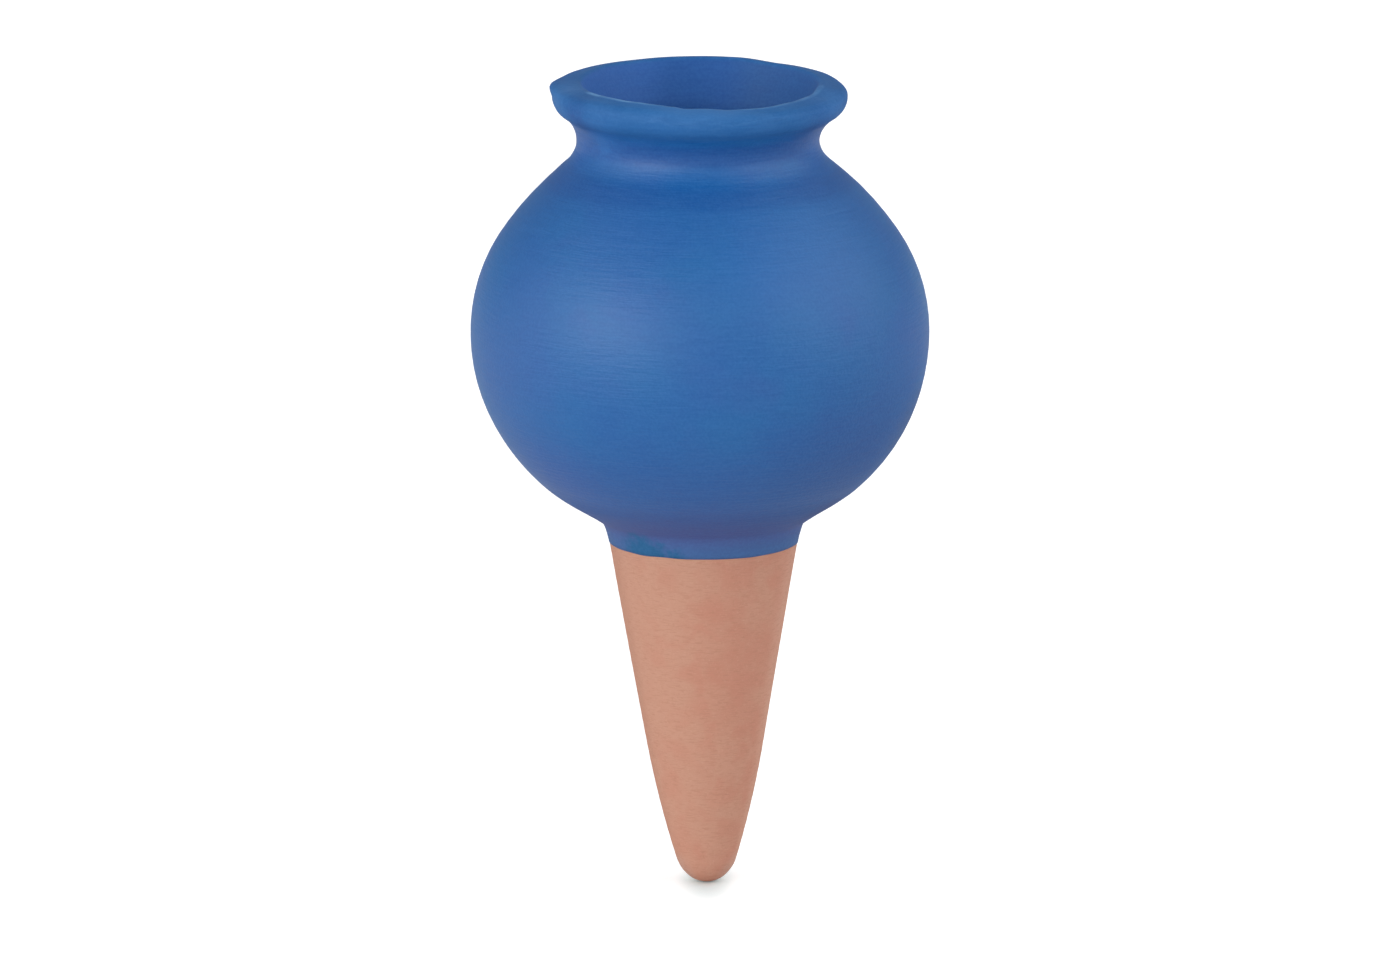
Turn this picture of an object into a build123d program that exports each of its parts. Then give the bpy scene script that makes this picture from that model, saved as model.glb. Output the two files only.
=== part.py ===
from build123d import *
import os
from math import acos, asin, atan2, cos, degrees, hypot, radians, sin, sqrt, tan

# A clay watering spike: a round reservoir with a rolled lip, on a hollow porous cone that is
# pushed into the soil of a plant pot. Water is poured in at the mouth, runs down inside the
# cone and seeps out through its bare wall. A blue coat seals the clay above the soil line.
# Lengths are in millimetres and angles in degrees. Height 0 is the soil line, where the coat
# ends and the bare cone begins, and the part stands upright about the Z axis.
# An outline is drawn as radius and height, and every shape here is turned about that axis.

# Spike, the porous cone. Only its collar is above the soil line, under the coat.
spike_length = 51.1
spike_diameter = 27.6
spike_wall = 3.2
spike_collar = 1.1
tip_radius = 4.5
flank_radius = 150.0
flank_fullness = 1.05
cavity_end_radius = 2.2

# Slip joint, the ring of wet clay that the globe is stuck on with before firing
slip_thickness = 0.5
slip_bead = 0.4

# Globe, the reservoir. Its collar carries on the spike's taper up to the foot's hollow.
globe_diameter = 66.9
globe_wall = 3.2
globe_collar = 0.7
foot_hollow_radius = 1.8
base_slope_length = 4.2
base_radius = 30.7
belly_radius = 29.1
belly_sweep = 26.0
crown_radius = 25.8
crown_sweep = 34.0
shoulder_radius = 46.2

# Neck and rolled lip
neck_diameter = 35.2
neck_hollow_radius = 4.7
lip_overhang = 3.85
lip_under_radius = 3.2
lip_top_radius = 1.6
lip_width = 3.4
lip_rise = 1.45
crest_radius = 0.6

# Throat, the straight way in through the neck
throat_wall = 3.0
throat_length = 3.0
throat_blend_radius = 5.0

# Blue coat over the clay
coat_thickness = 0.2


def at(centre, radius, angle):
    """The point on a circle at an angle."""
    return (
        centre[0] + radius * cos(radians(angle)),
        centre[1] + radius * sin(radians(angle)),
    )


def bearing(start, end):
    """The angle of the way from one point to another, from -180 to 180."""
    return degrees(atan2(end[1] - start[1], end[0] - start[0]))


def spread(start, end):
    """The distance between two points."""
    return hypot(end[0] - start[0], end[1] - start[1])


def height_above(centre, radius, reach):
    """The height, on the upright line at a radius, that is a distance above a point."""
    return centre[1] + sqrt(reach**2 - (radius - centre[0]) ** 2)


def common_normal(start, start_radius, end, end_radius):
    """The angle at which a straight line touches two circles on their right-hand side."""
    lean = degrees(acos((start_radius - end_radius) / spread(start, end)))
    return bearing(start, end) - lean


def arc(centre, radius, start, end):
    """The arc of a circle from one angle to another."""
    return CenterArc(centre, radius, start, end - start)


def turned(edges):
    """The solid that a closed outline makes when it is turned about the Z axis."""
    return revolve(Plane.XZ * make_face(edges), Axis.Z)


# Spike: a straight taper that would pass outside the tip's ball by the flank's fullness,
# and an arc that brings it in to the ball.
spike_radius = spike_diameter / 2
tip_centre = (0, tip_radius - spike_length)
tip_reach = spread(tip_centre, (spike_radius, 0))
taper = degrees(asin(spike_radius / tip_reach))
taper -= degrees(asin((tip_radius + flank_fullness) / tip_reach))
flank_run = sqrt(flank_fullness * (2 * (flank_radius - tip_radius) - flank_fullness))
taper_foot = at(tip_centre, tip_radius + flank_fullness, -taper)
taper_end = at(taper_foot, flank_run, 90 - taper)
flank_centre = at(taper_end, -flank_radius, -taper)


def taper_point(height, grown=0.0):
    """The point on the taper at a height, with the surface moved outwards by a distance."""
    radius = spike_radius + height * tan(radians(taper))
    return (radius + grown / cos(radians(taper)), height)


# Foot: the hollow in which the globe runs out on to its collar.
seat_height = spike_collar + slip_thickness
foot_centre = at(taper_point(seat_height + globe_collar), foot_hollow_radius, -taper)

# Globe: a straight slope runs from the foot's hollow to the base's arc, and each arc above
# runs smoothly on.
globe_radius = globe_diameter / 2
foot_reach = base_radius + foot_hollow_radius
base_axis, _ = at((globe_radius - belly_radius, 0), belly_radius - base_radius, -belly_sweep)
base_height = height_above(foot_centre, base_axis, hypot(foot_reach, base_slope_length))
base_centre = (base_axis, base_height)
base_end = bearing(base_centre, foot_centre) + degrees(atan2(base_slope_length, foot_reach))
belly_centre = at(base_centre, base_radius - belly_radius, -belly_sweep)
crown_centre = (globe_radius - crown_radius, belly_centre[1])
shoulder_centre = at(crown_centre, crown_radius - shoulder_radius, crown_sweep)

# Neck: the hollow between the shoulder and the lip.
neck_radius = neck_diameter / 2
neck_axis = neck_radius + neck_hollow_radius
neck_height = height_above(shoulder_centre, neck_axis, shoulder_radius + neck_hollow_radius)
neck_centre = (neck_axis, neck_height)
shoulder_end = bearing(shoulder_centre, neck_centre)

# Lip: its underside meets the neck's hollow in an S, and its top slopes up to the crest.
lip_radius = neck_radius + lip_overhang
lip_axis = lip_radius - lip_under_radius
lip_height = height_above(neck_centre, lip_axis, lip_under_radius + neck_hollow_radius)
lip_under_centre = (lip_axis, lip_height)
lip_under_start = bearing(lip_under_centre, neck_centre)
lip_top_centre = (lip_radius - lip_top_radius, lip_height)
crest_centre = (lip_radius - lip_width, lip_height + lip_rise)
lip_top_end = common_normal(lip_top_centre, lip_top_radius, crest_centre, crest_radius)

# Throat: a short cylinder. Below it the wall bulges in from the shoulder's inside, and
# above it the way opens again to the crest.
throat_radius = neck_radius - throat_wall
throat_axis = throat_radius + throat_blend_radius
inner_shoulder = shoulder_radius - globe_wall
throat_low = height_above(shoulder_centre, throat_axis, inner_shoulder + throat_blend_radius)
throat_high = throat_low + throat_length
throat_low_centre = (throat_axis, throat_low)
throat_high_centre = (throat_axis, throat_high)
inner_shoulder_end = bearing(shoulder_centre, throat_low_centre)
flare = common_normal(crest_centre, crest_radius, throat_high_centre, throat_blend_radius)
flare += 360


def foot_end(grown):
    """Where the foot's hollow runs out on the collar."""
    return at(foot_centre, foot_hollow_radius - grown, 180 - taper)


def globe_side(grown):
    """The globe from the foot's hollow up to the shoulder, with its surface moved outwards."""
    hollow = foot_hollow_radius - grown
    base = base_radius + grown
    return [
        arc(foot_centre, hollow, 180 - taper, 180 + base_end),
        Line(at(foot_centre, hollow, 180 + base_end), at(base_centre, base, base_end)),
        arc(base_centre, base, base_end, -belly_sweep),
        arc(belly_centre, belly_radius + grown, -belly_sweep, 0),
        arc(crown_centre, crown_radius + grown, 0, crown_sweep),
    ]


def mouth_side(grown):
    """The surface from the shoulder over the lip and down the throat, moved outwards."""
    hollow = neck_hollow_radius - grown
    top = lip_top_radius + grown
    crest = crest_radius + grown
    blend = throat_blend_radius + grown
    throat = throat_radius - grown
    return [
        arc(shoulder_centre, shoulder_radius + grown, crown_sweep, shoulder_end),
        arc(neck_centre, hollow, 180 + shoulder_end, 180 + lip_under_start),
        arc(lip_under_centre, lip_under_radius + grown, lip_under_start, 0),
        arc(lip_top_centre, top, 0, lip_top_end),
        Line(at(lip_top_centre, top, lip_top_end), at(crest_centre, crest, lip_top_end)),
        arc(crest_centre, crest, lip_top_end, flare),
        Line(at(crest_centre, crest, flare), at(throat_high_centre, blend, flare)),
        arc(throat_high_centre, blend, flare, 180),
        Line((throat, throat_high), (throat, throat_low)),
    ]


def make_spike():
    """The hollow cone, from its round tip up to the face that the globe is stuck on."""
    inner_flank = flank_radius - spike_wall
    cavity_drop = sqrt((inner_flank - cavity_end_radius) ** 2 - flank_centre[0] ** 2)
    cavity_end = (0, flank_centre[1] - cavity_drop)
    tip_side = bearing(flank_centre, tip_centre)
    cavity_side = bearing(flank_centre, cavity_end)
    rim = taper_point(spike_collar)
    inner_rim = taper_point(spike_collar, -spike_wall)
    return turned(
        [
            Line(rim, taper_end),
            arc(flank_centre, flank_radius, -taper, tip_side),
            arc(tip_centre, tip_radius, tip_side, -90),
            Line(at(tip_centre, tip_radius, -90), at(cavity_end, cavity_end_radius, -90)),
            arc(cavity_end, cavity_end_radius, -90, cavity_side),
            arc(flank_centre, inner_flank, cavity_side, -taper),
            Line(at(flank_centre, inner_flank, -taper), inner_rim),
            Line(inner_rim, rim),
        ]
    )


def make_slip_joint():
    """The ring of slip between spike and globe, with the bead squeezed out inside."""
    inner_low = taper_point(spike_collar, -spike_wall)
    inner_high = taper_point(seat_height, -spike_wall)
    bead_height = (spike_collar + seat_height) / 2
    bead_tip = taper_point(bead_height, -spike_wall - slip_bead)
    return turned(
        [
            Line(inner_low, taper_point(spike_collar)),
            Line(taper_point(spike_collar), taper_point(seat_height)),
            Line(taper_point(seat_height), inner_high),
            ThreePointArc(inner_high, bead_tip, inner_low),
        ]
    )


def make_globe():
    """The reservoir with its neck, lip and throat, open below into the spike."""
    seat = taper_point(seat_height)
    inner_seat = taper_point(seat_height, -globe_wall)
    return turned(
        [
            Line(seat, foot_end(0)),
            *globe_side(0),
            *mouth_side(0),
            arc(throat_low_centre, throat_blend_radius, 180, 180 + inner_shoulder_end),
            arc(shoulder_centre, inner_shoulder, inner_shoulder_end, crown_sweep),
            *globe_side(-globe_wall),
            Line(foot_end(-globe_wall), inner_seat),
            Line(inner_seat, seat),
        ]
    )


def make_coat():
    """The coat, from the soil line up over the lip and down through the throat."""
    edge = taper_point(0)
    outer_edge = taper_point(0, coat_thickness)
    return turned(
        [
            Line(outer_edge, foot_end(coat_thickness)),
            *globe_side(coat_thickness),
            *mouth_side(coat_thickness),
            Line((throat_radius - coat_thickness, throat_low), (throat_radius, throat_low)),
            *mouth_side(0),
            *globe_side(0),
            Line(edge, foot_end(0)),
            Line(edge, outer_edge),
        ]
    )


pieces = {
    "globe": make_globe(),
    "spike": make_spike(),
    "slip_joint": make_slip_joint(),
    "blue_coat": make_coat(),
}

os.makedirs("parts", exist_ok=True)
for name, piece in pieces.items():
    export_step(piece, f"parts/{name}.step")

mouth_height = crest_centre[1] + crest_radius + coat_thickness
print("overall height", round(mouth_height + spike_length, 3))
print("mouth height", round(mouth_height, 3), "and widest at", round(belly_centre[1], 3))
print("throat from", round(throat_low, 3), "to", round(throat_high, 3))
print("throat radius over the coat", round(throat_radius - coat_thickness, 3))
print("taper", round(taper, 3), "ends at", round(taper_end[1], 3))
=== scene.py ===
from math import acos, asin, atan2, cos, degrees, hypot, pi, radians, sin, sqrt, tan

import bmesh
import bpy
from mathutils import Matrix, Vector, noise


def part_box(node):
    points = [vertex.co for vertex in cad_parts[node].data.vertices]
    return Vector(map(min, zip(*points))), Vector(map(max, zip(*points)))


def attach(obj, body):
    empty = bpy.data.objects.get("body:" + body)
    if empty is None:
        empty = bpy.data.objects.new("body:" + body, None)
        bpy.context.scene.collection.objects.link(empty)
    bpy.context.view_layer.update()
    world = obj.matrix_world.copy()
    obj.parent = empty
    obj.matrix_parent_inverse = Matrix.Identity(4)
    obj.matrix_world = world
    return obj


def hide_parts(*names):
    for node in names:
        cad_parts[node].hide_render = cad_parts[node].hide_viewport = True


# A hand-made clay watering spike: a round reservoir with a rolled lip, stuck with slip on a
# hollow porous cone. A matte blue coat covers the clay above the soil line and the throat.
# Lengths are in metres and angles in degrees. Height 0 is the soil line, +Z is up and the
# front faces -Y. Each piece is turned about the Z axis from an outline of radius and height,
# and then bent a little out of true in the same way as its neighbours.

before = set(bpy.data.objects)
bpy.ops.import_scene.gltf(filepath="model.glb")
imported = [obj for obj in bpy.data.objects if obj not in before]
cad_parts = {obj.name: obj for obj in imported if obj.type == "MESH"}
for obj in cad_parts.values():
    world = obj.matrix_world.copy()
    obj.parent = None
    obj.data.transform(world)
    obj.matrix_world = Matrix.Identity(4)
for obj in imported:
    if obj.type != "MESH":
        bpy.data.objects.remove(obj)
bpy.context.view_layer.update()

# Sizes that the frame gives
_, coat_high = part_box("blue_coat")
globe_low, globe_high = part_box("globe")
spike_low, spike_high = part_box("spike")
coat_thickness = coat_high.x - globe_high.x
globe_radius = globe_high.x
spike_collar = spike_high.z
seat_height = globe_low.z
spike_length = -spike_low.z
floor_height = spike_low.z

# Spike
spike_radius = 0.0138
spike_wall = 0.0032
tip_radius = 0.0045
flank_radius = 0.15
flank_fullness = 0.00105
cavity_end_radius = 0.0022

# Globe
globe_wall = 0.0032
globe_collar = 0.0007
foot_hollow_radius = 0.0018
base_slope_length = 0.0042
base_radius = 0.0307
belly_radius = 0.0291
belly_sweep = 26
crown_radius = 0.0258
crown_sweep = 34
shoulder_radius = 0.0462

# Neck, lip and throat
neck_radius = 0.0176
neck_hollow_radius = 0.0047
lip_overhang = 0.00385
lip_under_radius = 0.0032
lip_top_radius = 0.0016
lip_width = 0.0036
lip_rise = 0.00165
crest_radius = 0.0004
throat_wall = 0.003
throat_length = 0.003
throat_blend_radius = 0.005

# Slip bead
slip_bead = 0.0004

# How far the clay keeps clear of the coat's inner side
coat_clearance = 0.00003

# How finely a piece is made: the steps round it, the gaps between an outline's points, how
# often a turned slice is doubled and how near points are merged
steps_round = 256
body_gap = 0.0006
lip_gap = 0.0004
plain_gap = 0.0012
hidden_gap = 0.0016
hidden_lip_gap = 0.0008
doublings = 3
merge_gap = 0.000002


def at(centre, radius, angle):
    """The point on a circle at an angle."""
    return (
        centre[0] + radius * cos(radians(angle)),
        centre[1] + radius * sin(radians(angle)),
    )


def bearing(start, end):
    """The angle of the way from one point to another."""
    return degrees(atan2(end[1] - start[1], end[0] - start[0]))


def spread(start, end):
    """The distance between two points."""
    return hypot(end[0] - start[0], end[1] - start[1])


def height_above(centre, radius, reach):
    """The height, on the upright line at a radius, that is a distance above a point."""
    return centre[1] + sqrt(reach**2 - (radius - centre[0]) ** 2)


def common_normal(start, start_radius, end, end_radius):
    """The angle at which a straight line touches two circles on their right-hand side."""
    lean = degrees(acos((start_radius - end_radius) / spread(start, end)))
    return bearing(start, end) - lean


def smooth(value, low, high):
    """Runs smoothly from 0 at low to 1 at high."""
    share = min(1.0, max(0.0, (value - low) / (high - low)))
    return share * share * (3 - 2 * share)


# Centres of the outline's arcs
tip_centre = (0, tip_radius - spike_length)
tip_reach = spread(tip_centre, (spike_radius, 0))
taper = degrees(asin(spike_radius / tip_reach))
taper -= degrees(asin((tip_radius + flank_fullness) / tip_reach))
flank_run = sqrt(flank_fullness * (2 * (flank_radius - tip_radius) - flank_fullness))
taper_foot = at(tip_centre, tip_radius + flank_fullness, -taper)
taper_end = at(taper_foot, flank_run, 90 - taper)
flank_centre = at(taper_end, -flank_radius, -taper)


def taper_point(height, grown=0.0):
    """The point on the spike's taper at a height, with the surface moved outwards."""
    radius = spike_radius + height * tan(radians(taper))
    return (radius + grown / cos(radians(taper)), height)


foot_centre = at(taper_point(seat_height + globe_collar), foot_hollow_radius, -taper)
foot_reach = base_radius + foot_hollow_radius
base_axis, _ = at((globe_radius - belly_radius, 0), belly_radius - base_radius, -belly_sweep)
base_height = height_above(foot_centre, base_axis, hypot(foot_reach, base_slope_length))
base_centre = (base_axis, base_height)
base_end = bearing(base_centre, foot_centre) + degrees(atan2(base_slope_length, foot_reach))
belly_centre = at(base_centre, base_radius - belly_radius, -belly_sweep)
crown_centre = (globe_radius - crown_radius, belly_centre[1])
shoulder_centre = at(crown_centre, crown_radius - shoulder_radius, crown_sweep)
neck_axis = neck_radius + neck_hollow_radius
neck_height = height_above(shoulder_centre, neck_axis, shoulder_radius + neck_hollow_radius)
neck_centre = (neck_axis, neck_height)
shoulder_end = bearing(shoulder_centre, neck_centre)
lip_radius = neck_radius + lip_overhang
lip_axis = lip_radius - lip_under_radius
lip_height = height_above(neck_centre, lip_axis, lip_under_radius + neck_hollow_radius)
lip_under_centre = (lip_axis, lip_height)
lip_under_start = bearing(lip_under_centre, neck_centre)
lip_top_centre = (lip_radius - lip_top_radius, lip_height)
crest_centre = (lip_radius - lip_width, lip_height + lip_rise)
lip_top_end = common_normal(lip_top_centre, lip_top_radius, crest_centre, crest_radius)
throat_radius = neck_radius - throat_wall
throat_axis = throat_radius + throat_blend_radius
inner_shoulder = shoulder_radius - globe_wall
throat_low = height_above(shoulder_centre, throat_axis, inner_shoulder + throat_blend_radius)
throat_high = throat_low + throat_length
throat_low_centre = (throat_axis, throat_low)
throat_high_centre = (throat_axis, throat_high)
inner_shoulder_end = bearing(shoulder_centre, throat_low_centre)
flare = common_normal(crest_centre, crest_radius, throat_high_centre, throat_blend_radius)
flare += 360
crest_height = crest_centre[1] + crest_radius


class Outline:
    """The outline of a turned piece, drawn with a pen in the XZ plane."""

    def __init__(self, start, gap):
        self.mesh = bmesh.new()
        self.gap = gap
        self.first = self.mesh.verts.new((start[0], 0, start[1]))
        self.pen = self.first

    def draw(self, length, **motion):
        """Moves the pen in even steps and leaves a line behind it."""
        steps = max(1, round(length / self.gap))
        if "dvec" in motion:
            motion["dvec"] = motion["dvec"] / steps
        made = bmesh.ops.spin(self.mesh, geom=[self.pen], axis=(0, 1, 0), steps=steps, **motion)
        self.pen = made["geom_last"][0]

    def arc(self, centre, radius, start, end):
        """Swings the pen about a centre, from the angle where it stands to another."""
        length = radius * radians(abs(end - start))
        self.draw(length, cent=(centre[0], 0, centre[1]), angle=radians(start - end))

    def line(self, end):
        """Draws a straight line to a point."""
        way = Vector((end[0], 0, end[1])) - self.pen.co
        self.draw(way.length, dvec=way, angle=0)

    def restart(self, gap):
        """Puts the pen back to the start, to draw the other side."""
        self.pen = self.first
        self.gap = gap

    def turned(self):
        """The piece that the outline makes when it is turned about the Z axis.

        A slice of it is spun, and the rest is made by doubling.
        """
        mesh = self.mesh
        turn = 2 * pi / 2**doublings
        bmesh.ops.spin(
            mesh,
            geom=mesh.verts[:] + mesh.edges[:],
            axis=(0, 0, 1),
            angle=turn,
            steps=steps_round // 2**doublings,
        )
        for _ in range(doublings):
            copy = bmesh.ops.duplicate(mesh, geom=mesh.verts[:] + mesh.edges[:] + mesh.faces[:])
            verts = [part for part in copy["geom"] if isinstance(part, bmesh.types.BMVert)]
            bmesh.ops.rotate(mesh, verts=verts, matrix=Matrix.Rotation(turn, 3, "Z"))
            turn *= 2
        bmesh.ops.remove_doubles(mesh, verts=mesh.verts, dist=merge_gap)
        bmesh.ops.recalc_face_normals(mesh, faces=mesh.faces)
        return mesh


def foot_end(grown):
    """Where the foot's hollow runs out on the collar."""
    return at(foot_centre, foot_hollow_radius - grown, 180 - taper)


def draw_globe_side(pen, grown):
    """From the foot's hollow up to the crown's end, with the surface moved outwards."""
    pen.arc(foot_centre, foot_hollow_radius - grown, 180 - taper, 180 + base_end)
    pen.line(at(base_centre, base_radius + grown, base_end))
    pen.arc(base_centre, base_radius + grown, base_end, -belly_sweep)
    pen.arc(belly_centre, belly_radius + grown, -belly_sweep, 0)
    pen.arc(crown_centre, crown_radius + grown, 0, crown_sweep)


def draw_mouth_side(pen, grown):
    """From the shoulder through the neck's hollow and over the lip, down to the throat."""
    pen.arc(shoulder_centre, shoulder_radius + grown, crown_sweep, shoulder_end)
    pen.arc(neck_centre, neck_hollow_radius - grown, 180 + shoulder_end, 180 + lip_under_start)
    pen.arc(lip_under_centre, lip_under_radius + grown, lip_under_start, 0)
    pen.arc(lip_top_centre, lip_top_radius + grown, 0, lip_top_end)
    pen.line(at(crest_centre, crest_radius + grown, lip_top_end))
    pen.arc(crest_centre, crest_radius + grown, lip_top_end, flare)
    pen.line(at(throat_high_centre, throat_blend_radius + grown, flare))
    pen.arc(throat_high_centre, throat_blend_radius + grown, flare, 180)
    pen.line((throat_radius - grown, throat_low))


# How far the hand-made shape is out of true, seen from the front. The spike was stuck on a
# little to the right and leans that way, and the neck sits a little to the left. Each span is
# the height at which a shift begins to change and the height at which it has changed.
spike_shift = 0.0002
spike_shift_span = (0.0015, 0.0065)
spike_lean = 0.63
lean_start = -0.006
base_shift = 0.00028
base_shift_span = (0.008, 0.028)
neck_shift = -0.0003
neck_shift_span = (0.052, neck_centre[1])
lip_shift_span = (neck_centre[1], lip_height - 0.002)

# The swell of the whole surface
swell_depth = 0.00008
swell_size = 0.02
swell_bias = 0.4

# The spiral that turning left: its depth and pitch, and how its depth varies
ring_depth = 0.000016
ring_pitch = 0.0021
ring_mean_share = 0.6
ring_change_share = 0.8
ring_change_size = ring_pitch * 4

# The ripple of the lip
lip_wave_depth = 0.00008
lip_wave_size = 0.006

# Where the piece is fuller than its outline, or less full: the height, the reach up and down
# and the depth
fuller_rings = [
    (-0.0502, 0.0028, -0.0002),
    (-0.026, 0.05, 0.00006),
    (0.0028, 0.0016, 0.00013),
    (0.0054, 0.0034, -0.00024),
    (0.0568, 0.0026, 0.00013),
    (0.0635, 0.004, 0.00015),
]

# How the fingers left the lip: at an angle round from the front, how far the crest and the
# outer corner stand out and how far the lip sinks
lip_marks = [
    (-180, 0.0004, 0.0003, 0.0),
    (-160, 0.0003, 0.0003, 0.0),
    (-135, 0.0004, 0.00025, 0.00005),
    (-110, 0.0001, 0.0003, 0.0002),
    (-90, 0.0, 0.00095, 0.0004),
    (-75, 0.0, 0.0004, 0.00048),
    (-60, 0.0003, 0.0, 0.00042),
    (-45, 0.0008, 0.0, 0.00034),
    (-30, 0.0011, 0.0, 0.00041),
    (-19, 0.0013, 0.0, 0.00051),
    (-12, 0.0014, 0.0, 0.00065),
    (-7, 0.0014, 0.0, 0.00092),
    (2, 0.0014, 0.0, 0.00086),
    (15, 0.0013, 0.0, 0.00114),
    (28, 0.0012, 0.0, 0.00117),
    (45, 0.0008, 0.0, 0.00105),
    (62, 0.0003, 0.0, 0.00092),
    (80, 0.0, 0.0001, 0.00045),
    (100, 0.0, 0.0, 0.0004),
    (120, 0.0, 0.0001, 0.00028),
    (145, 0.0, 0.0001, 0.0003),
    (165, 0.0003, 0.0003, 0.0),
    (180, 0.0004, 0.0003, 0.0),
]
corner_rise_share = 0.35


def sway(height):
    """How far the piece's axis lies to the right at a height."""
    shift = base_shift * (1 - smooth(height, *base_shift_span))
    shift += spike_shift * (1 - smooth(height, *spike_shift_span))
    shift += tan(radians(spike_lean)) * max(0.0, lean_start - height)
    shift += neck_shift * smooth(height, *neck_shift_span)
    shift -= neck_shift * smooth(height, *lip_shift_span)
    return shift


def lip_mark(around):
    """How far crest and corner stand out and the lip sinks at an angle round from the front."""
    for start, end in zip(lip_marks, lip_marks[1:]):
        if around <= end[0]:
            share = smooth(around, start[0], end[0])
            return [low + (high - low) * share for low, high in zip(start[1:], end[1:])]
    return lip_marks[-1][1:]


def lip_bend(radius, height, around):
    """How far a point of the lip moves outwards and downwards."""
    crest_out, corner_out, drop = lip_mark(around)
    outside = smooth(radius, crest_centre[0] - crest_radius, crest_centre[0] + crest_radius)
    low = throat_high + (lip_height - lip_under_radius / 2 - throat_high) * outside
    share = smooth(height, low, crest_height)
    inner = smooth(height, throat_high, crest_height)
    outer = 1 - smooth(radius, crest_centre[0], lip_radius)
    outer *= smooth(height, lip_height, crest_centre[1])
    out = crest_out * (inner + (outer - inner) * outside)
    corner = corner_out * outside
    corner *= smooth(height, lip_height - crest_radius / 2, lip_height + lip_top_radius)
    corner *= smooth(radius, crest_centre[0], lip_radius - lip_top_radius)
    return out + corner, drop * share - corner_rise_share * corner, share


def hand_made(point):
    """Where a point of the true turned shape lies on the hand-made one."""
    x, y, z = point
    radius = hypot(x, y)
    around = atan2(x, -y)
    place = Vector((x, y, z))
    swell = swell_depth * (noise.noise(place / swell_size) - swell_bias)
    turn = 2 * pi * z / ring_pitch + around
    uneven = ring_mean_share + ring_change_share * noise.noise(place / ring_change_size)
    swell += ring_depth * sin(turn) * uneven
    for height, reach, depth in fuller_rings:
        swell += depth * (1 - smooth(abs(z - height), 0, reach))
    out, drop, lip = lip_bend(radius, z, degrees(around))
    swell += out + lip_wave_depth * lip * noise.noise(place / lip_wave_size)
    drop += lip_wave_depth * lip * noise.noise(Vector((x, y, lip_wave_size)) / lip_wave_size)
    near_axis = smooth(radius, 0, tip_radius)
    share = 1 + swell * near_axis / max(radius, tip_radius)
    return Vector((x * share + sway(z), y * share, min(z - drop, coat_high.z)))


# How the brush left the coat's lower edge: in a wave, lifted at the sides and thinned
edge_wave_depth = 0.00013
edge_wave_size = 0.004
edge_lift = 0.00012
edge_reach = 0.0022
edge_thickness = 0.00008


def brushed_edge(point):
    """Moves the coat's lower edge to where the brush left it, and thins the coat towards it."""
    x, y, z = point
    low = 1 - smooth(z, 0, edge_reach)
    radius = hypot(x, y)
    drop = edge_wave_depth * noise.noise(Vector((x, y, 0)) / edge_wave_size) * low
    drop -= edge_lift * (x / radius) ** 2 * low
    over = min(1.0, max(0.0, (radius - taper_point(z)[0]) / coat_thickness))
    out = -drop * tan(radians(taper)) - (coat_thickness - edge_thickness) * over * low
    grown = 1 + out / radius
    return Vector((x * grown, y * grown, z - drop))


def finished(name, mesh, bends):
    """Makes the object of a turned mesh, with its true shape kept as an attribute."""
    true_shape = mesh.verts.layers.float_vector.new("true_shape")
    for vert in mesh.verts:
        vert[true_shape] = vert.co
        for bend in bends:
            vert.co = bend(vert.co)
    data = bpy.data.meshes.new(name)
    mesh.to_mesh(data)
    mesh.free()
    data.shade_smooth()
    made = bpy.data.objects.new(name, data)
    bpy.context.scene.collection.objects.link(made)
    return made


def make_coat():
    """The coat, from the soil line up over the lip and down through the throat."""
    pen = Outline(taper_point(0, coat_thickness), body_gap)
    pen.line(foot_end(coat_thickness))
    draw_globe_side(pen, coat_thickness)
    pen.gap = lip_gap
    draw_mouth_side(pen, coat_thickness)
    pen.restart(hidden_gap)
    pen.line(taper_point(0))
    pen.line(foot_end(0))
    draw_globe_side(pen, 0)
    pen.gap = hidden_lip_gap
    draw_mouth_side(pen, 0)
    pen.line((throat_radius - coat_thickness, throat_low))
    return finished("coat", pen.turned(), [brushed_edge, hand_made])


def make_globe():
    """The reservoir, with its outer side under the coat and its inner side bare."""
    pen = Outline(taper_point(seat_height, -globe_wall), plain_gap)
    pen.line(foot_end(-globe_wall))
    draw_globe_side(pen, -globe_wall)
    pen.arc(shoulder_centre, inner_shoulder, crown_sweep, inner_shoulder_end)
    pen.arc(throat_low_centre, throat_blend_radius, 180 + inner_shoulder_end, 180)
    pen.restart(hidden_gap)
    pen.line(taper_point(seat_height, -coat_clearance))
    pen.line(foot_end(-coat_clearance))
    draw_globe_side(pen, -coat_clearance)
    pen.gap = hidden_lip_gap
    draw_mouth_side(pen, -coat_clearance)
    pen.line((throat_radius, throat_low))
    return finished("reservoir", pen.turned(), [hand_made])


def make_spike():
    """The hollow cone, from its round tip up to the face that the globe is stuck on."""
    inner_flank = flank_radius - spike_wall
    cavity_drop = sqrt((inner_flank - cavity_end_radius) ** 2 - flank_centre[0] ** 2)
    cavity_end = (0, flank_centre[1] - cavity_drop)
    tip_side = bearing(flank_centre, tip_centre)
    pen = Outline(at(tip_centre, tip_radius, -90), body_gap)
    pen.arc(tip_centre, tip_radius, -90, tip_side)
    pen.arc(flank_centre, flank_radius, tip_side, -taper)
    pen.line(taper_point(spike_collar))
    pen.gap = plain_gap
    pen.line(taper_point(spike_collar, -spike_wall))
    pen.line(at(flank_centre, inner_flank, -taper))
    pen.arc(flank_centre, inner_flank, -taper, bearing(flank_centre, cavity_end))
    pen.arc(cavity_end, cavity_end_radius, bearing(flank_centre, cavity_end), -90)
    return finished("cone", pen.turned(), [hand_made])


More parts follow.
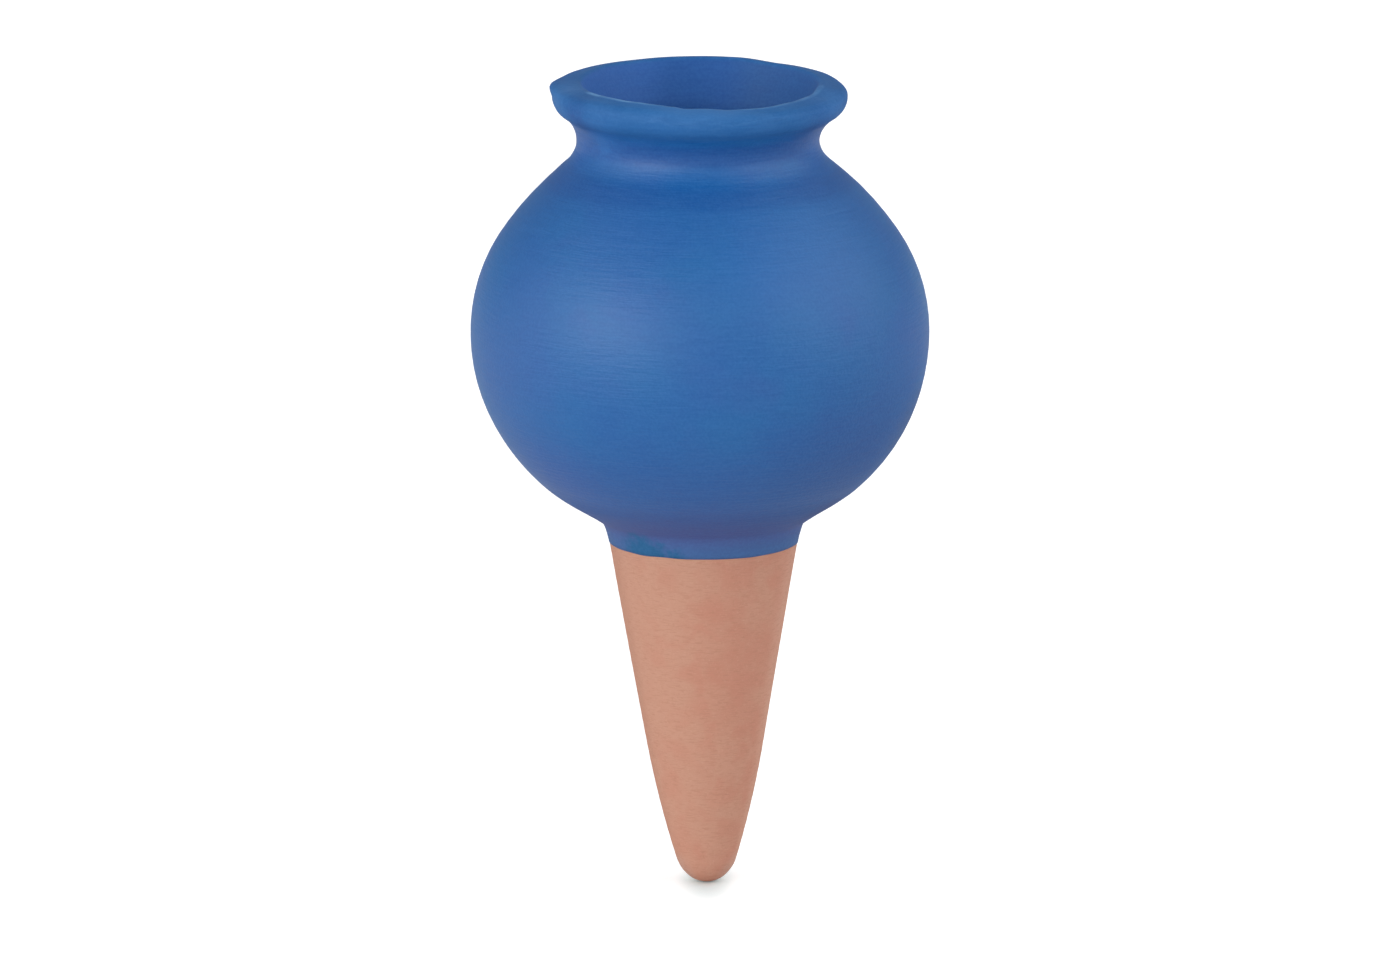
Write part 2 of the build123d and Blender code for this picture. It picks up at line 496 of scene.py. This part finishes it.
def make_slip_joint():
    """The ring of slip between spike and globe, with the bead squeezed out inside."""
    bead_height = (spike_collar + seat_height) / 2
    bead_tip = taper_point(bead_height, -spike_wall - slip_bead)
    pen = Outline(taper_point(seat_height, -spike_wall), plain_gap)
    pen.line(taper_point(seat_height))
    pen.line(taper_point(spike_collar))
    pen.line(taper_point(spike_collar, -spike_wall))
    pen.line(bead_tip)
    pen.line(taper_point(seat_height, -spike_wall))
    return finished("slip_ring", pen.turned(), [hand_made])


class Finish:
    """A node material, put together one node at a time."""

    def __init__(self, name):
        self.material = bpy.data.materials.new(name)
        self.material.use_nodes = True
        self.tree = self.material.node_tree
        self.shader = self.tree.nodes["Principled BSDF"]

    def put(self, socket, value):
        """Links a socket to an output, or sets its value."""
        if isinstance(value, bpy.types.NodeSocket):
            self.tree.links.new(value, socket)
        else:
            socket.default_value = value

    def node(self, kind, inputs, **settings):
        """Adds a node, with its settings, values and links."""
        made = self.tree.nodes.new("ShaderNode" + kind)
        for name, value in settings.items():
            setattr(made, name, value)
        for key, value in inputs.items():
            self.put(made.inputs[key], value)
        return made

    def math(self, operation, first, second=0.0):
        """One step of arithmetic."""
        return self.node("Math", {0: first, 1: second}, operation=operation).outputs[0]

    def rise(self, value, low, high, bottom=0.0, top=1.0):
        """Runs smoothly from bottom to top as a value goes from low to high."""
        inputs = {"Value": value, "From Min": low, "From Max": high, "To Min": bottom, "To Max": top}
        return self.node("MapRange", inputs, interpolation_type="SMOOTHSTEP").outputs["Result"]

    def blend(self, share, first, second):
        """Mixes two colours, with the colour sockets of the Mix node."""
        inputs = {0: share, 6: first, 7: second}
        return self.node("Mix", inputs, data_type="RGBA").outputs[2]

    def cloud(self, place, size, detail=2.0, distortion=0.0):
        """A soft noise from 0 to 1 with grains of about a size."""
        inputs = {"Vector": place, "Scale": 1 / size, "Detail": detail, "Distortion": distortion}
        return self.node("TexNoise", inputs).outputs["Fac"]

    def stretched(self, place, scale, turn=(0, 0, 0)):
        """The place, stretched and turned, for grains that are longer one way."""
        inputs = {"Vector": place, "Scale": scale, "Rotation": [radians(t) for t in turn]}
        return self.node("Mapping", inputs).outputs["Vector"]

    def place(self):
        """A point's place on the object."""
        return self.node("TexCoord", {}).outputs["Object"]

    def true_shape(self):
        """Place, coordinates and radius of a point before the piece was bent out of true."""
        place = self.node("Attribute", {}, attribute_name="true_shape").outputs["Vector"]
        split = self.node("SeparateXYZ", {"Vector": place})
        x, y, z = split.outputs
        flat = self.node("CombineXYZ", {"X": x, "Y": y}).outputs["Vector"]
        radius = self.node("VectorMath", {0: flat}, operation="LENGTH").outputs["Value"]
        return place, x, y, z, radius

    def distance(self, place, point):
        """How far a place is from a point."""
        return self.node("VectorMath", {0: place, 1: point}, operation="DISTANCE").outputs["Value"]

    def distance_across(self, radius, height, point):
        """How far a place is from a point of the outline, all round."""
        flat = self.node("CombineXYZ", {"X": radius, "Y": height}).outputs["Vector"]
        return self.distance(flat, (point[0], point[1], 0))

    def rough(self, height, distance, under=None):
        """Bumps of a real depth in metres, over the bumps under them."""
        inputs = {"Height": height, "Distance": distance}
        if under is not None:
            inputs["Normal"] = under
        return self.node("Bump", inputs).outputs["Normal"]


# Colours, as linear light
white = (1, 1, 1, 1)
coat_blue = (0.0075, 0.104, 0.358, 1)
coat_cyan = (0.0060, 0.117, 0.365, 1)
coat_violet = (0.0200, 0.092, 0.342, 1)
# Painted shade on the sides of the globe and the lip
coat_side_shade = (0.0060, 0.076, 0.295, 1)
# Painted light
coat_painted_light = (0.0080, 0.124, 0.402, 1)
# Painted sheen on the left side
coat_left_sheen = (0.0230, 0.107, 0.352, 1)
# Painted shade on the left of the shoulder
coat_left_shoulder_shade = (0.0010, 0.094, 0.335, 1)
# Painted shade on the right rim
coat_right_rim_shade = (0.0140, 0.076, 0.250, 1)
coat_teal = (0.0010, 0.097, 0.248, 1)
# Redder at the coat's edge: partly its own tone, partly painted sheen
coat_edge_tone_and_sheen = (0.0370, 0.114, 0.307, 1)
# Redder in the foot's hollow: partly the coat's own tone, partly painted sheen
coat_foot_tone_and_sheen = (0.0640, 0.090, 0.290, 1)
# Painted shade, darker low on the globe
coat_lower_shade = (0.0110, 0.094, 0.338, 1)
# Painted shade at the right of the foot
coat_foot_side_shade = (0.0200, 0.058, 0.235, 1)
coat_neck = (0.0005, 0.104, 0.360, 1)
# Painted shade at the sides of the neck, under the lip
coat_neck_side_shade = (0.0002, 0.089, 0.350, 1)
# Painted shade in the neck's hollow under the lip
coat_neck_hollow_shade = (0.0012, 0.075, 0.306, 1)
# Painted shade in a ring on the shoulder below the neck
coat_shoulder_ring_shade = (0.0002, 0.068, 0.295, 1)
# Painted light on the lip's underside
coat_lip_under_light = (0.0100, 0.127, 0.392, 1)
coat_lip = (0.0040, 0.108, 0.346, 1)
# Painted shade on the lip's left
coat_lip_left_shade = (0.0005, 0.084, 0.295, 1)
# Painted shade at the lip's sides
coat_lip_side_shade = (0.0008, 0.103, 0.350, 1)
# The lip's paler tone, also painted light on its top and in patches
coat_lip_pale_and_light = (0.0240, 0.148, 0.415, 1)
# Painted shade inside the mouth
coat_inside_shade = (0.0025, 0.083, 0.338, 1)
# Painted light inside the mouth at the left
coat_inside_left_light = (0.0140, 0.112, 0.420, 1)
# Duller painted shade inside the mouth at the right
coat_inside_right_shade = (0.0103, 0.087, 0.306, 1)
# A pale highlight painted along the crest
coat_crest_highlight = (0.1000, 0.300, 0.600, 1)
coat_dust = (0.120, 0.395, 0.860, 1)
clay_colour = (0.587, 0.308, 0.216, 1)
# The clay's darker tone, also painted shade on the left side
clay_dark_and_shade = (0.500, 0.232, 0.153, 1)
clay_red = (0.572, 0.260, 0.181, 1)
# The clay's paler tone, also painted light on the right side
clay_pale_and_light = (0.670, 0.385, 0.285, 1)
# Painted reflection on the sides of the tip
clay_tip_reflection = (0.560, 0.350, 0.280, 1)
slip_colour = (0.480, 0.240, 0.160, 1)

# Where most of a noise's values lie, and where its middle ones do
noise_span = (0.3, 0.7)
noise_middle = (0.35, 0.65)

# Marks on the coat: their sizes, how much flatter than wide they are, and their depths
tone_size = 0.014
violet_size = 0.009
lip_tone_size = 0.004
lip_tone_stretch = (1, 1, 2)
mottle_size = 0.0022
mottle_stretch = (1, 1, 2.5)
streak_size = 0.0035
streak_stretch = (1, 1, 9)
brush_size = 0.0045
brush_stretch = (1, 1, 14)
brush_tilt = (0, 1.5, 0)
brush_depth = 0.00007
grain_size = 0.0004
grain_depth = 0.00003

# How much dust lies in the grain and the streaks
grain_dust = 0.05
streak_dust = 0.03

# Bands low on the coat: up to where each is full, where it has gone, its colour and strength.
# The coat is darker towards the bottom of the globe as painted shade, and redder in the foot's
# hollow and at its edge, partly its own tone and partly a painted sheen.
foot_bands = [
    (0.0110, 0.0240, coat_lower_shade, 0.9),
    (0.0030, 0.0112, coat_foot_tone_and_sheen, 0.95),
    (0.0004, 0.0042, coat_edge_tone_and_sheen, 0.9),
]

# Bands of painted shade round the neck, in its hollow under the lip and in a ring on the
# shoulder below it: height, how far from it each is full and has gone, colour and strength
neck_shade_bands = [
    (neck_centre[1] + 0.0007, 0.0008, 0.0022, coat_neck_hollow_shade, 1.0),
    (neck_centre[1] - 0.0050, 0.0004, 0.0022, coat_shoulder_ring_shade, 0.5),
]

# Patches of the coat: angle round from the front, height, radius, reach, colour and strength. A
# strength over 1 makes more of the patch full. Those low on the right, on the left of the
# shoulder, at the right rim and at the right of the foot are painted shade, the two high on the
# right are painted light and the one halfway up the left is a painted sheen; the rest are tints of
# the coat as it was brushed on.
coat_patches = [
    (52, 0.0150, 0.0300, 0.0250, coat_side_shade, 1.0),
    (-50, 0.0110, 0.0270, 0.0150, coat_violet, 0.9),
    (-70, 0.0540, 0.0200, 0.0190, coat_left_shoulder_shade, 1.0),
    (40, 0.0470, 0.0250, 0.0180, coat_painted_light, 1.0),
    (-55, 0.0310, 0.0335, 0.0180, coat_left_sheen, 0.8),
    (-14, 0.0310, 0.0335, 0.0110, coat_cyan, 1.0),
    (15, 0.0450, 0.0280, 0.0110, coat_painted_light, 0.6),
    (78, 0.0180, 0.0325, 0.0100, coat_right_rim_shade, 0.9),
    (60, 0.0060, 0.0205, 0.0060, coat_foot_side_shade, 1.0),
    (0, 0.0588, 0.0195, 0.0095, coat_neck, 1.0),
    (-42, 0.0006, 0.0140, 0.0044, coat_teal, 1.2),
    (-30, 0.0000, 0.0140, 0.0036, coat_teal, 1.4),
    (-19, -0.0004, 0.0140, 0.0024, coat_teal, 1.0),
]
# The lip's patches, in the same columns: the darker ones at its sides and at the neck's sides below
# are painted shade, the bright ones are painted light, and the pale ones are partly its uneven tone
# and partly painted light.
lip_patches = [
    (58, 0.0640, 0.0190, 0.0055, coat_side_shade, 1.0),
    (-58, 0.0648, 0.0200, 0.0045, coat_side_shade, 1.0),
    (-76, 0.0672, 0.0203, 0.0062, coat_lip_pale_and_light, 1.0),
    (64, 0.0658, 0.0213, 0.0065, coat_painted_light, 0.8),
    (68, 0.0674, 0.0200, 0.0050, coat_lip_pale_and_light, 0.7),
    (2, 0.0664, 0.0213, 0.0050, coat_lip_pale_and_light, 0.25),
    (-30, 0.0652, 0.0210, 0.0050, coat_cyan, 0.8),
    (38, 0.0650, 0.0208, 0.0045, coat_cyan, 0.8),
    (26, 0.0650, 0.0210, 0.0045, coat_lip_pale_and_light, 0.3),
    (-46, 0.0670, 0.0205, 0.0045, coat_lip_pale_and_light, 0.4),
    (-50, 0.0620, 0.0180, 0.0050, coat_painted_light, 0.8),
    (-74, 0.0600, 0.0178, 0.0070, coat_neck_side_shade, 1.0),
    (72, 0.0600, 0.0178, 0.0070, coat_neck_side_shade, 1.0),
]
ragged_size = 0.0012
ragged_reach = 0.0008

# Where the lip's colours lie. Each span is where a tint begins and where it ends, by height,
# by distance to a side or, at the front, by distance forward. From the under span to the lip span
# the lip is lighter as painted light, at the sides and the left place it is darker as painted
# shade, and the top, middle and front spans bound a painted highlight on its top front.
under_span = (neck_centre[1] + 0.0028, neck_centre[1] + 0.0039)
lip_span = (lip_height - 0.0014, lip_height)
lip_side_span = (0.010, 0.020)
lip_left_place = (-62, lip_height, lip_radius)
lip_left_reach = 0.017
lip_left_strength = 0.45
lip_top_highlight_span = (0.0668, 0.0684)
lip_middle_span = (0.003, 0.010)
lip_front_span = (-0.012, -0.004)

# Where the colours inside the mouth lie: painted shade, lighter at the left as painted light and
# duller at the right
inside_span = (crest_centre[0] - 0.0007, crest_centre[0] - 0.0002)
inside_height_span = (0.056, 0.058)
inside_left_span = (-0.010, -0.003)
inside_right_span = (0.003, 0.009)

# Where a pale highlight is painted along the crest: round its edge, from the left, to the right
# and at the front
crest_highlight_edge_span = (0.0003, 0.0008)
crest_highlight_left_span = (-0.0100, -0.0050)
crest_highlight_right_span = (0.004, 0.009)
crest_highlight_front_span = (-0.007, -0.0045)
crest_highlight_slant = 0.15
crest_highlight_middle_share = 0.1
crest_highlight_right_share = 0.45
crest_highlight_size = 0.002

# Gloss of the coat, which is dullest on the lip, inside and at the foot
sheen_roughness = 0.46
matte_roughness = 0.7
matte_foot_span = (0.0060, 0.0110)
dull_place = (68, 0.0180, 0.0325)
dull_span = (0.004, 0.018)
dull_roughness = 0.14
streak_roughness = 0.02
coat_gloss = 0.5


def surface_point(around, height, radius):
    """A point of the surface by its angle round from the front, its height and its radius."""
    return (radius * sin(radians(around)), -radius * cos(radians(around)), height)


def ragged_patches(look, colour, place, patches):
    """The colour with patches over it, each with a ragged edge."""
    ragged = look.cloud(place, ragged_size, detail=3)
    ragged = look.rise(ragged, *noise_span, -ragged_reach, ragged_reach)
    for around, height, radius, reach, tint, strength in patches:
        gap = look.distance(place, surface_point(around, height, radius))
        share = look.rise(look.math("ADD", gap, ragged), 0.0, reach, strength, 0.0)
        colour = look.blend(share, colour, tint)
    return colour


def body_tones(look, place, height):
    """The coat's colour on the globe and the neck, with painted light and shade, before the fine
    grain.
    """
    tone = look.rise(look.cloud(place, tone_size, detail=3), *noise_middle)
    colour = look.blend(tone, coat_blue, coat_cyan)
    violet = look.rise(look.cloud(place, violet_size), 0.5, 0.75, 0.0, 0.45)
    colour = look.blend(violet, colour, coat_violet)
    # Painted shade low on the globe, and a redder tone at the foot that is partly painted sheen
    for full, gone, tint, strength in foot_bands:
        colour = look.blend(look.rise(height, full, gone, strength, 0.0), colour, tint)
    # Patches, some of them painted light and shade
    colour = ragged_patches(look, colour, place, coat_patches)
    # Painted shade round the neck
    for level, full, gone, tint, strength in neck_shade_bands:
        gap = look.math("ABSOLUTE", look.math("SUBTRACT", height, level))
        colour = look.blend(look.rise(gap, full, gone, strength, 0.0), colour, tint)
    return colour


def lip_tones(look, colour, place, x, y, height, under):
    """The lip's paler, mottled colour, laid over the body's, with painted light on its underside
    and top front and painted shade at its sides.
    """
    # Painted light on the lip's underside
    colour = look.blend(under, colour, coat_lip_under_light)
    lip = look.rise(height, *lip_span)
    tone = look.cloud(look.stretched(place, lip_tone_stretch), lip_tone_size, detail=3)
    tone = look.rise(tone, *noise_middle)
    colour = look.blend(lip, colour, look.blend(tone, coat_lip, coat_cyan))
    mottle = look.cloud(look.stretched(place, mottle_stretch), mottle_size)
    mottle = look.rise(mottle, 0.45, 0.7, 0.0, 0.55)
    colour = look.blend(look.math("MULTIPLY", under, mottle), colour, coat_lip_pale_and_light)
    side = look.math("ABSOLUTE", x)
    outer = look.rise(side, *lip_side_span)
    colour = look.blend(look.math("MULTIPLY", lip, outer), colour, coat_lip_side_shade)
    left = look.distance(place, surface_point(*lip_left_place))
    left = look.rise(left, 0.0, lip_left_reach, lip_left_strength, 0.0)
    colour = look.blend(look.math("MULTIPLY", lip, left), colour, coat_lip_left_shade)
    colour = ragged_patches(look, colour, place, lip_patches)
    middle = look.rise(side, *lip_middle_span, 1.0, 0.0)
    front = look.rise(y, *lip_front_span, 1.0, 0.0)
    # A painted highlight on the top front of the lip
    pale = look.math("MULTIPLY", look.rise(height, *lip_top_highlight_span), middle)
    return look.blend(look.math("MULTIPLY", pale, front), colour, coat_lip_pale_and_light)


def inside_light_and_shade(look, x):
    """The colour inside the mouth, darkened as painted shade and paler at the left as painted
    light.
    """
    colour = look.blend(look.rise(x, *inside_left_span), coat_inside_left_light, coat_inside_shade)
    return look.blend(look.rise(x, *inside_right_span), colour, coat_inside_right_shade)


def crest_highlight(look, place, x, y, height, radius):
    """Where a pale highlight is painted along the front of the crest, most of all at the left."""
    edge = look.distance_across(radius, height, (crest_centre[0], crest_height))
    edge = look.rise(edge, *crest_highlight_edge_span, 1.0, 0.0)
    left = look.rise(x, *crest_highlight_left_span, 1.0, crest_highlight_middle_share)
    right = look.rise(x, *crest_highlight_right_span, crest_highlight_middle_share, crest_highlight_right_share)
    forward = look.math("SUBTRACT", y, look.math("MULTIPLY", x, crest_highlight_slant))
    front = look.rise(forward, *crest_highlight_front_span, 1.0, 0.0)
    lit_front = look.math("MULTIPLY", look.math("MAXIMUM", left, right), front)
    uneven = look.rise(look.cloud(place, crest_highlight_size, detail=3), 0.35, 0.6, 0.45, 1.0)
    return look.math("MULTIPLY", edge, look.math("MULTIPLY", lit_front, uneven))


def coat_roughness(look, place, height, lip, inside, streaks):
    """How rough the coat is: least on the globe, which has a faint sheen."""
    foot = look.rise(height, *matte_foot_span, 1.0, 0.0)
    matte = look.math("MAXIMUM", look.math("MAXIMUM", lip, inside), foot)
    roughness = look.rise(matte, 0.0, 1.0, sheen_roughness, matte_roughness)
    dull = look.distance(place, surface_point(*dull_place))
    dull = look.rise(dull, *dull_span, dull_roughness, 0.0)
    roughness = look.math("ADD", roughness, dull)
    streaky = look.rise(streaks, *noise_span, -streak_roughness, streak_roughness)
    return look.math("ADD", roughness, streaky)


def coat_finish():
    """Matte blue, brushed on while the piece turned, with a pale highlight painted along the crest.
    """
    look = Finish("matte_blue_coat")
    place, x, y, height, radius = look.true_shape()
    lip = look.rise(height, *under_span)
    inside = look.rise(radius, *inside_span, 1.0, 0.0)
    inside = look.math("MULTIPLY", inside, look.rise(height, *inside_height_span))
    colour = lip_tones(look, body_tones(look, place, height), place, x, y, height, lip)
    # Painted light and shade inside the mouth
    colour = look.blend(inside, colour, inside_light_and_shade(look, x))
    # A pale highlight painted along the crest
    colour = look.blend(crest_highlight(look, place, x, y, height, radius), colour, coat_crest_highlight)
    streaks = look.cloud(look.stretched(place, streak_stretch), streak_size, detail=3)
    grain = look.cloud(place, grain_size)
    dust = look.rise(grain, *noise_span, 0.0, grain_dust)
    dust = look.math("ADD", dust, look.rise(streaks, *noise_span, 0.0, streak_dust))
    look.put(look.shader.inputs["Base Color"], look.blend(dust, colour, coat_dust))
    lines = look.cloud(look.stretched(place, brush_stretch, brush_tilt), brush_size, detail=3)
    bumps = look.rough(grain, grain_depth, under=look.rough(lines, brush_depth))
    look.put(look.shader.inputs["Normal"], bumps)
    roughness = coat_roughness(look, place, height, lip, inside, streaks)
    look.put(look.shader.inputs["Roughness"], roughness)
    look.put(look.shader.inputs["Specular IOR Level"], coat_gloss)
    return look.material


# Marks on the clay: their sizes, how much flatter than wide they are, their depths, and gloss
clay_tone_size = 0.011
blotch_size = 0.0035
blotch_depth = 0.3
smoothing_size = 0.0013
smoothing_stretch = (1, 1, 9)
smoothing_depth = 0.00008
clay_grain_size = 0.0003
clay_grain_depth = 0.00003
pit_size = 0.0005
clay_roughness = 0.85
clay_gloss = 0.3

# Where the clay turns redder towards the right, and where its lowest edges are greyed by a
# painted reflection
red_side_span = (-0.009, 0.006)
tip_reflection_span = (-0.050, -0.042)


def clay_tones(look, place, x, height, radius, colour, dark, pale):
    """The clay's colour before its marks: red and pale blotches, its right side paler as painted
    light and its left side darker as painted shade, and the sides of its tip greyed by a painted
    reflection.
    """
    tone = look.rise(look.cloud(place, clay_tone_size), *noise_span, -0.35, 0.45)
    tone = look.math("ADD", tone, look.rise(x, *red_side_span))
    blotch = look.cloud(place, blotch_size, detail=3, distortion=0.4)
    blotch = look.rise(blotch, *noise_middle, -blotch_depth, blotch_depth)
    mixed = look.blend(look.rise(look.math("ADD", tone, blotch), 0.0, 1.4), colour, clay_red)
    side = look.math("DIVIDE", x, radius)
    # The right side paler as painted light, the left side darker as painted shade
    mixed = look.blend(look.rise(side, 0.8, 0.98, 0.0, 0.5), mixed, pale)
    mixed = look.blend(look.rise(side, -0.98, -0.85, 0.3, 0.0), mixed, dark)
    # A painted reflection greys the sides of the tip
    reflection = look.rise(height, *tip_reflection_span, 1.0, 0.0)
    reflection = look.math("MULTIPLY", reflection, look.math("ABSOLUTE", side))
    return look.blend(look.rise(reflection, 0.3, 1.0, 0.0, 0.8), mixed, clay_tip_reflection)


def clay_finish(name, colour, dark, pale):
    """Bare fired clay, with a fine grain and short smoothing marks that run round the piece."""
    look = Finish(name)
    place, x, _, height, radius = look.true_shape()
    mixed = clay_tones(look, place, x, height, radius, colour, dark, pale)
    marks = look.cloud(look.stretched(place, smoothing_stretch), smoothing_size)
    mixed = look.blend(look.rise(marks, 0.5, 0.68, 0.0, 0.5), mixed, dark)
    grain = look.cloud(place, clay_grain_size)
    mixed = look.blend(look.rise(grain, 0.5, 0.8, 0.0, 0.3), mixed, pale)
    pits = look.cloud(place, pit_size)
    mixed = look.blend(look.rise(pits, 0.6, 0.75, 0.0, 0.4), mixed, dark)
    look.put(look.shader.inputs["Base Color"], mixed)
    bumps = look.rough(grain, clay_grain_depth, under=look.rough(marks, smoothing_depth))
    look.put(look.shader.inputs["Normal"], bumps)
    look.put(look.shader.inputs["Roughness"], clay_roughness)
    look.put(look.shader.inputs["Specular IOR Level"], clay_gloss)
    return look.material


def dress(piece, node, material):
    """Gives a finished piece its material, puts it under the root and hides the CAD node that it
    stands for.
    """
    piece.data.materials.append(material)
    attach(piece, "root")
    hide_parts(node)


# Camera: a long lens 3 m away, aimed at the axis a little above the soil line. The lens and
# the sensor are in millimetres.
camera_distance = 3.0
camera_elevation = 11.5
aim_height = 0.0091
lens_length = 526.0
sensor_width = 36.0


def make_camera():
    """The camera at the photograph's viewing angle."""
    data = bpy.data.cameras.new("camera")
    data.lens = lens_length
    data.sensor_width = sensor_width
    data.clip_start = camera_distance / 10
    data.clip_end = camera_distance * 4
    camera = bpy.data.objects.new("camera", data)
    tilt = radians(camera_elevation)
    camera.location = (0, -camera_distance * cos(tilt), aim_height + camera_distance * sin(tilt))
    camera.rotation_euler = (pi / 2 - tilt, 0, 0)
    bpy.context.scene.collection.objects.link(camera)
    bpy.context.scene.camera = camera


# Light: each lamp's name, azimuth, elevation, width and brightness, with white paper as 1.
# The gloss shows the keys and the wide fills, and the even lamps only brighten.
room_brightness = 0.26
lamps = [
    ("left_key", -45, 10, 42, 2.22),
    ("left_wide", -45, 10, 62, 0.67),
    ("left_fill", -70, 18, 70, 0.76),
    ("right_key", 50, 26, 40, 0.58),
    ("right_low", 56, 5, 36, 0.11),
    ("right_fill", 78, 28, 70, 0.94),
    ("high_front", 0, 32, 44, 0.51),
]
even_lamps = [
    ("right_side", 112, 15, 50, 0.72),
    ("left_side", -112, 15, 50, 0.2),
    ("front", 0, 8, 50, 0.51),
    ("back", 180, 25, 60, 0.8),
]


def make_lamp(name, azimuth, elevation, width, brightness):
    """A soft light far away, as a disc that fills an angle, with azimuth 0 at the front."""
    data = bpy.data.lights.new(name, "SUN")
    data.angle = radians(width)
    data.energy = brightness * pi * sin(radians(width / 2)) ** 2
    lamp = bpy.data.objects.new(name, data)
    round_by, up_by = radians(azimuth), radians(elevation)
    way = Vector((sin(round_by) * cos(up_by), -cos(round_by) * cos(up_by), sin(up_by)))
    lamp.rotation_euler = way.to_track_quat("Z", "Y").to_euler()
    lamp.visible_camera = False
    bpy.context.scene.collection.objects.link(lamp)
    return lamp


def make_room():
    """Soft light from all sides, and plain white to the camera.

    No piece is of metal or glass, so none has to show the white, and the camera alone sees it.
    """
    world = bpy.data.worlds.new("room")
    world.use_nodes = True
    tree = world.node_tree
    light = tree.nodes["Background"]
    light.inputs["Color"].default_value = white
    light.inputs["Strength"].default_value = room_brightness
    seen = tree.nodes.new("ShaderNodeBackground")
    seen.inputs["Color"].default_value = white
    path = tree.nodes.new("ShaderNodeLightPath")
    mixed = tree.nodes.new("ShaderNodeMixShader")
    tree.links.new(path.outputs["Is Camera Ray"], mixed.inputs[0])
    tree.links.new(light.outputs[0], mixed.inputs[1])
    tree.links.new(seen.outputs[0], mixed.inputs[2])
    tree.links.new(mixed.outputs[0], tree.nodes["World Output"].inputs["Surface"])
    bpy.context.scene.world = world


# Floor. The glow that makes it white fades round the tip into a painted contact shadow over the
# real one, and turns cyan there so that the shadow stays grey.
floor_reach = 4.0
floor_white = 0.8
floor_glow = 0.52
floor_glow_at_tip = 0.10
shadow_reach = 0.0061
shadow_shape = (1.15, 0.35, 0)
painted_shadow_tint = (0.55, 1, 1, 1)


def floor_finish():
    """Matte white, with a glow that only the camera sees, faded round the tip into a painted shadow.
    """
    look = Finish("white_floor")
    look.put(look.shader.inputs["Base Color"], (floor_white, floor_white, floor_white, 1))
    look.put(look.shader.inputs["Roughness"], 1.0)
    look.put(look.shader.inputs["Specular IOR Level"], 0.0)
    flat = look.stretched(look.place(), shadow_shape)
    gap = look.distance(flat, (sway(floor_height) * shadow_shape[0], 0, 0))
    # The glow fades and turns cyan round the tip in a painted contact shadow
    tint = look.blend(look.rise(gap, 0.0, shadow_reach), painted_shadow_tint, white)
    look.put(look.shader.inputs["Emission Color"], tint)
    glow = look.rise(gap, 0.0, shadow_reach, floor_glow_at_tip, floor_glow)
    seen = look.node("LightPath", {}).outputs["Is Camera Ray"]
    look.put(look.shader.inputs["Emission Strength"], look.math("MULTIPLY", seen, glow))
    return look.material


def make_floor():
    """A plain white floor that the tip just touches."""
    mesh = bmesh.new()
    bmesh.ops.create_grid(mesh, x_segments=1, y_segments=1, size=floor_reach)
    bmesh.ops.translate(mesh, vec=(0, 0, floor_height), verts=mesh.verts)
    data = bpy.data.meshes.new("floor")
    mesh.to_mesh(data)
    mesh.free()
    data.materials.append(floor_finish())
    floor = bpy.data.objects.new("floor", data)
    bpy.context.scene.collection.objects.link(floor)


dress(make_coat(), "blue_coat", coat_finish())
globe_clay = clay_finish("globe_clay", clay_colour, clay_dark_and_shade, clay_pale_and_light)
spike_clay = clay_finish("spike_clay", clay_colour, clay_dark_and_shade, clay_pale_and_light)
slip_clay = clay_finish("slip_clay", slip_colour, clay_dark_and_shade, clay_colour)
dress(make_globe(), "globe", globe_clay)
dress(make_spike(), "spike", spike_clay)
dress(make_slip_joint(), "slip_joint", slip_clay)
make_camera()
make_room()
for lamp in lamps:
    make_lamp(*lamp)
for lamp in even_lamps:
    make_lamp(*lamp).visible_glossy = False
make_floor()

bpy.context.scene.view_settings.view_transform = "Standard"
